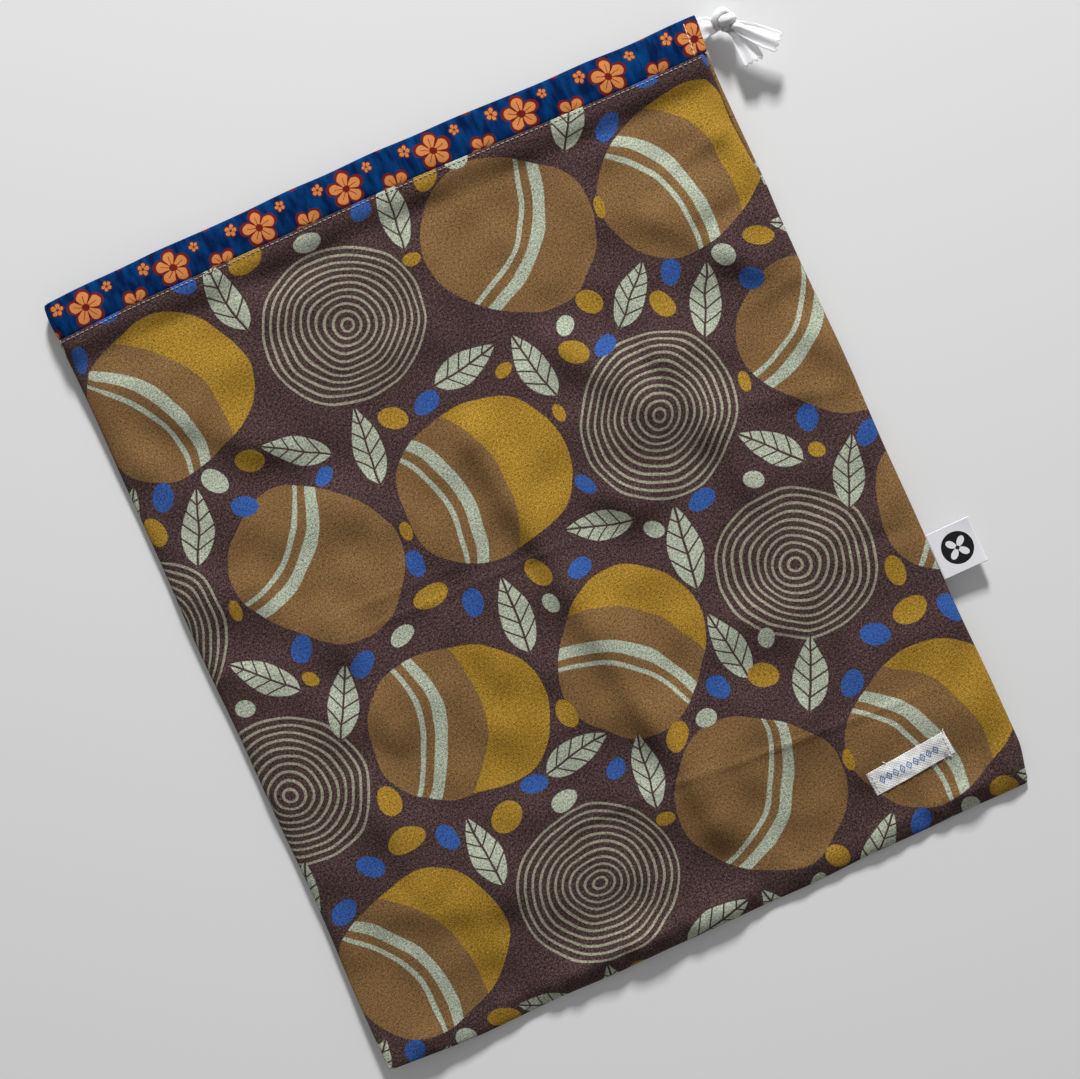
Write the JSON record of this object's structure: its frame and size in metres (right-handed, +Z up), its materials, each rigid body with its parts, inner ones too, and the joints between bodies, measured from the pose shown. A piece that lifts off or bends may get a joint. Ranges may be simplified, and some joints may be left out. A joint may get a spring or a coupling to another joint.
{
  "type": "drawstring bag",
  "caption": "Flat cloth drawstring bag with a printed body, a contrasting casing round its mouth, a knotted white tape drawcord, a looped side label and a small front label.",
  "frame": {"origin": "centre of the back panel's flat underside, on the table the bag lies on", "axes": "+X along the casing towards the knot, +Y from the bottom seam to the mouth, +Z up from the table through the front panel"},
  "size_m": [0.3321, 0.352, 0.0133],
  "materials": {
    "canvas": "printed peached cotton canvas",
    "casing_cloth": "printed cotton",
    "tape": "white cotton tape",
    "ribbon": "woven label ribbon"
  },
  "bodies": {
    "bag": {"back_panel": "canvas", "front_panel": "canvas", "casing": "casing_cloth", "tape_bend": "tape", "front_label": "ribbon"},
    "drawcord": {"tape_run_front": "tape", "tape_run_back": "tape", "tape_lead_front": "tape", "tape_lead_back": "tape", "knot": "tape", "tape_tail_upper": "tape", "tape_tail_lower": "tape"},
    "side_label": {"side_label": "ribbon"}
  },
  "joints": [
    {"name": "drawcord_pull", "type": "slide", "parent": "bag", "child": "drawcord", "axis": [1, 0, 0], "range_m": [0, 0.11]},
    {"name": "side_label_flap", "type": "hinge", "parent": "bag", "child": "side_label", "pos_m": [0.15065, -0.074, 0.005], "axis": [0, -1, 0], "range_deg": [-12, 85]}
  ]
}
